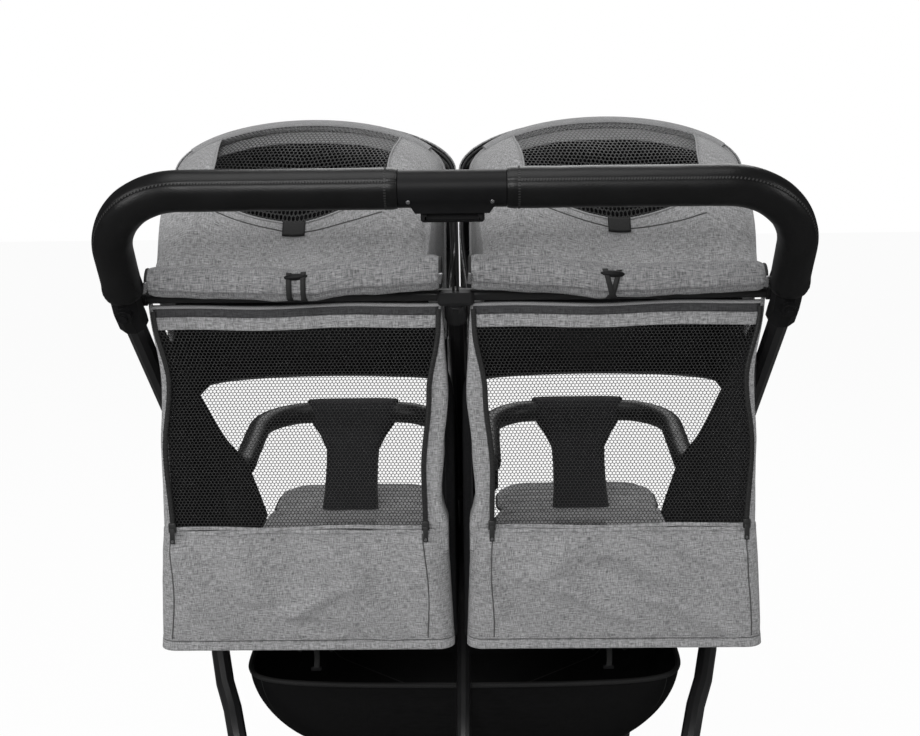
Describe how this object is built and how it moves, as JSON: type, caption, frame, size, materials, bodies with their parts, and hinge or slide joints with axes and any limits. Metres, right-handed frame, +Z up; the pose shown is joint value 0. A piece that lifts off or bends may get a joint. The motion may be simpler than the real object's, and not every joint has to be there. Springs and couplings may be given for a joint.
{
  "type": "double stroller",
  "caption": "Side-by-side double stroller with a folding frame, reclining seats, hoods, bumper bars, leg rests, a basket, swivel front wheels and a wrapped push handle.",
  "frame": {"origin": "on the floor under the middle of the bounding box", "axes": "+Y is the direction of travel, -Y is the push handle, +Z is up, +X is the pusher's right"},
  "size_m": [0.7302, 0.9392, 1.0869],
  "materials": {
    "black_paint": "satin black powder-coated aluminium tube",
    "black_plastic": "fine-grained black moulded plastic",
    "grey_cloth": "mid-grey marl woven polyester",
    "black_cloth": "black woven polyester",
    "black_net": "black knitted six-sided net",
    "leatherette": "stitched black leatherette with a soft sheen",
    "black_foam": "black covered foam",
    "tyre_rubber": "black foam rubber tyre"
  },
  "bodies": {
    "chassis": {"rear_leg_left": "black_paint", "rear_leg_right": "black_paint", "rear_leg_centre": "black_paint", "rear_axle": "black_paint", "seat_frame": "black_paint", "hub_left": "black_plastic", "hub_right": "black_plastic", "hub_centre": "black_plastic", "seat_left": "grey_cloth", "seat_right": "grey_cloth", "basket": "black_cloth", "side_wing_left": "black_cloth", "side_wing_right": "black_cloth", "side_wing_inner_left": "black_cloth", "side_wing_inner_right": "black_cloth", "back_panel_left": "grey_cloth", "back_panel_right": "grey_cloth"},
    "push_frame": {"push_tube_left": "black_paint", "push_tube_right": "black_paint", "push_tube_centre": "black_paint", "handlebar": "black_paint", "grip_left": "leatherette", "grip_right": "leatherette", "handle_hub": "black_plastic", "handle_joint_left": "black_plastic", "handle_joint_right": "black_plastic", "cross_bar": "black_paint", "flap_roll_left": "grey_cloth", "flap_roll_right": "grey_cloth", "mesh_window_left": "black_net", "mesh_window_right": "black_net", "canopy_rear_left": "grey_cloth", "canopy_rear_right": "grey_cloth"},
    "release": {"release_lever": "black_plastic"},
    "front_frame": {"front_leg_left": "black_paint", "front_leg_right": "black_paint", "front_cross_tube": "black_paint"},
    "brake": {"brake_pedal": "black_plastic"},
    "canopy_left": {"canopy_front_left": "grey_cloth"},
    "seatback_left": {"backrest_left": "black_cloth", "recline_lock_left": "black_plastic"},
    "leg_rest_left": {"legrest_left": "grey_cloth"},
    "bumper_left": {"bumper_bar_left": "black_foam", "crotch_cover_left": "black_cloth"},
    "caster_left": {"caster_fork_left": "black_plastic"},
    "front_wheel_left": {"front_tyre_left": "tyre_rubber", "front_rim_left": "black_plastic"},
    "rear_wheel_left": {"rear_tyre_left": "tyre_rubber", "rear_rim_left": "black_plastic"},
    "canopy_right": {"canopy_front_right": "grey_cloth"},
    "seatback_right": {"backrest_right": "black_cloth", "recline_lock_right": "black_plastic"},
    "leg_rest_right": {"legrest_right": "grey_cloth"},
    "bumper_right": {"bumper_bar_right": "black_foam", "crotch_cover_right": "black_cloth"},
    "caster_right": {"caster_fork_right": "black_plastic"},
    "front_wheel_right": {"front_tyre_right": "tyre_rubber", "front_rim_right": "black_plastic"},
    "rear_wheel_right": {"rear_tyre_right": "tyre_rubber", "rear_rim_right": "black_plastic"}
  },
  "joints": [
    {"name": "fold", "type": "hinge", "parent": "chassis", "child": "push_frame", "pos_m": [0, 0.02, 0.6], "axis": [1, 0, 0], "range_deg": [0, 70], "deforming": ["mesh_window_left", "mesh_window_right", "side_wing_left", "side_wing_right", "side_wing_inner_left", "side_wing_inner_right", "basket"]},
    {"name": "front_fold", "type": "hinge", "parent": "chassis", "child": "front_frame", "pos_m": [0, 0.02, 0.6], "axis": [1, 0, 0], "range_deg": [-49, 0]},
    {"name": "release_pull", "type": "slide", "parent": "push_frame", "child": "release", "axis": [0, 0, 1], "range_m": [0, 0.006]},
    {"name": "brake_press", "type": "hinge", "parent": "chassis", "child": "brake", "pos_m": [0.15, -0.27, 0.125], "axis": [1, 0, 0], "range_deg": [0, 25]},
    {"name": "canopy_swing_left", "type": "hinge", "parent": "push_frame", "child": "canopy_left", "pos_m": [-0.174, -0.22, 0.8], "axis": [1, 0, 0], "range_deg": [0, 52]},
    {"name": "recline_left", "type": "hinge", "parent": "chassis", "child": "seatback_left", "pos_m": [-0.174, 0.075, 0.478], "axis": [1, 0, 0], "range_deg": [-60, 0], "deforming": ["back_panel_left"]},
    {"name": "legrest_tilt_left", "type": "hinge", "parent": "chassis", "child": "leg_rest_left", "pos_m": [-0.174, 0.305, 0.4512], "axis": [1, 0, 0], "range_deg": [-70, 0]},
    {"name": "bumper_slide_left", "type": "slide", "parent": "chassis", "child": "bumper_left", "axis": [0, 1, 0], "range_m": [0, 0.06]},
    {"name": "caster_swivel_left", "type": "hinge", "parent": "front_frame", "child": "caster_left", "pos_m": [-0.24, 0.4126, 0.2082], "axis": [0, 0, 1], "continuous": true},
    {"name": "front_wheel_spin_left", "type": "hinge", "parent": "caster_left", "child": "front_wheel_left", "pos_m": [-0.24, 0.3776, 0.092], "axis": [1, 0, 0], "continuous": true},
    {"name": "rear_wheel_spin_left", "type": "hinge", "parent": "chassis", "child": "rear_wheel_left", "pos_m": [-0.313, -0.27, 0.125], "axis": [1, 0, 0], "continuous": true},
    {"name": "canopy_swing_right", "type": "hinge", "parent": "push_frame", "child": "canopy_right", "pos_m": [0.174, -0.22, 0.8], "axis": [1, 0, 0], "range_deg": [0, 52]},
    {"name": "recline_right", "type": "hinge", "parent": "chassis", "child": "seatback_right", "pos_m": [0.174, 0.075, 0.478], "axis": [1, 0, 0], "range_deg": [-60, 0], "deforming": ["back_panel_right"]},
    {"name": "legrest_tilt_right", "type": "hinge", "parent": "chassis", "child": "leg_rest_right", "pos_m": [0.174, 0.305, 0.4512], "axis": [1, 0, 0], "range_deg": [-70, 0]},
    {"name": "bumper_slide_right", "type": "slide", "parent": "chassis", "child": "bumper_right", "axis": [0, 1, 0], "range_m": [0, 0.06]},
    {"name": "caster_swivel_right", "type": "hinge", "parent": "front_frame", "child": "caster_right", "pos_m": [0.24, 0.4126, 0.2082], "axis": [0, 0, 1], "continuous": true},
    {"name": "front_wheel_spin_right", "type": "hinge", "parent": "caster_right", "child": "front_wheel_right", "pos_m": [0.24, 0.3776, 0.092], "axis": [1, 0, 0], "continuous": true},
    {"name": "rear_wheel_spin_right", "type": "hinge", "parent": "chassis", "child": "rear_wheel_right", "pos_m": [0.313, -0.27, 0.125], "axis": [1, 0, 0], "continuous": true}
  ],
  "couplings": [
    {"joint": "front_fold", "follows": "fold", "ratio": -0.7}
  ]
}
